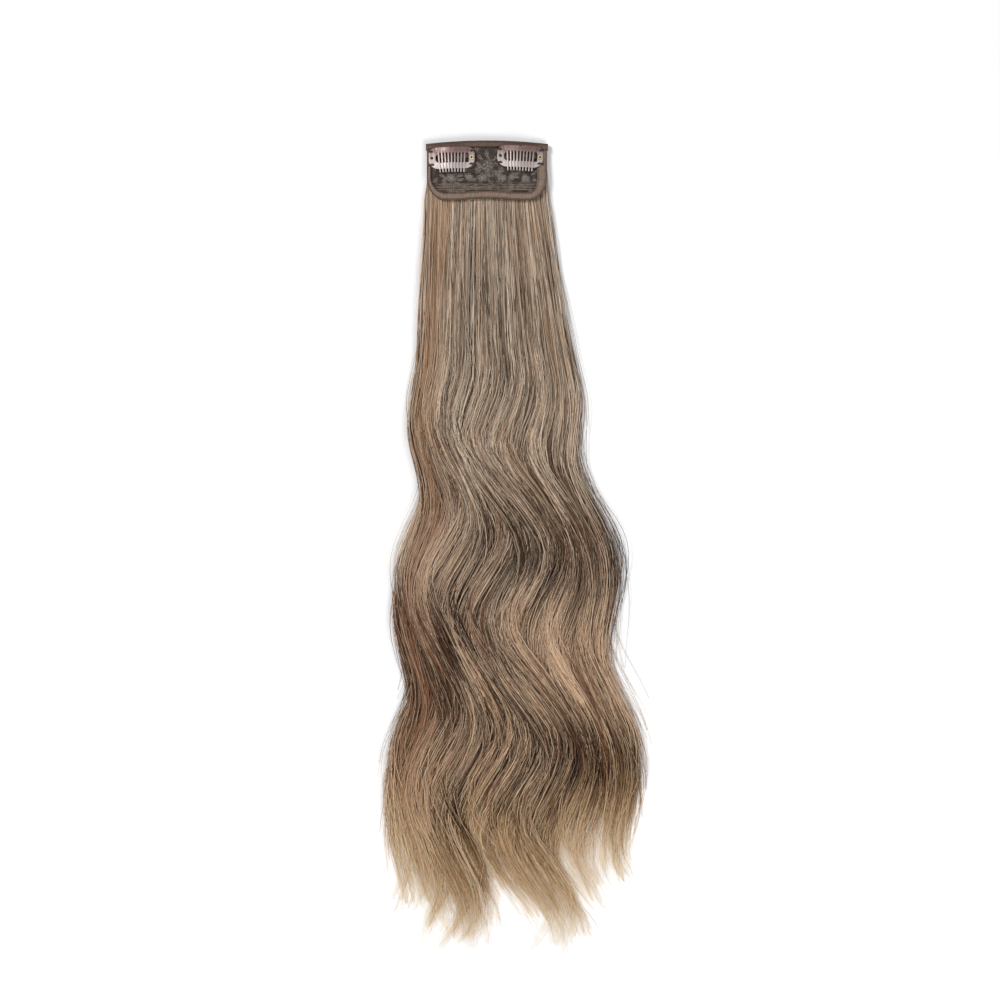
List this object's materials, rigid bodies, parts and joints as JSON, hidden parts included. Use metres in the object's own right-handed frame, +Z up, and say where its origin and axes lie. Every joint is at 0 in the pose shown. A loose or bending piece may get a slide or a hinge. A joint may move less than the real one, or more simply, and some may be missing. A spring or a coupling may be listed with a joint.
{
  "type": "clip in hair extension weft",
  "caption": "Narrow weft of long wavy hair sewn under a tape bound lace base, with snap comb clips whose comb leaves swing open.",
  "frame": {"origin": "on the surface that the hair lies on, under the middle of the base", "axes": "+Z up off the surface, +Y from the hair's tips to the base's top edge, +X along the base"},
  "size_m": [0.1689, 0.572, 0.0125],
  "materials": {
    "hair": "satin wavy hair, ash brown streaked with beige, paler at the tips",
    "lace": "matte grey brown lace with a pale floral thread",
    "tape": "matte taupe woven tape",
    "clip_steel": "glossy rose brown lacquer on spring steel",
    "eyelet": "bright pale brass"
  },
  "bodies": {
    "weft": {"hair": "hair", "lace_panel": "lace", "top_tape": "tape", "hem_tape": "tape", "clip_left_frame": "clip_steel", "clip_left_eyelet": "eyelet", "clip_right_frame": "clip_steel", "clip_right_eyelet": "eyelet"},
    "clip_left_leaf": {"clip_left_comb": "clip_steel"},
    "clip_right_leaf": {"clip_right_comb": "clip_steel"}
  },
  "joints": [
    {"name": "clip_left_snap", "type": "hinge", "parent": "weft", "child": "clip_left_leaf", "pos_m": [-0.02484, 0.01617, 0.00688], "axis": [-0.9989, -0.0298, -0.0363], "range_deg": [0, 40]},
    {"name": "clip_right_snap", "type": "hinge", "parent": "weft", "child": "clip_right_leaf", "pos_m": [0.0235, 0.01716, 0.00683], "axis": [-0.9987, 0.0382, 0.0333], "range_deg": [0, 40]}
  ]
}
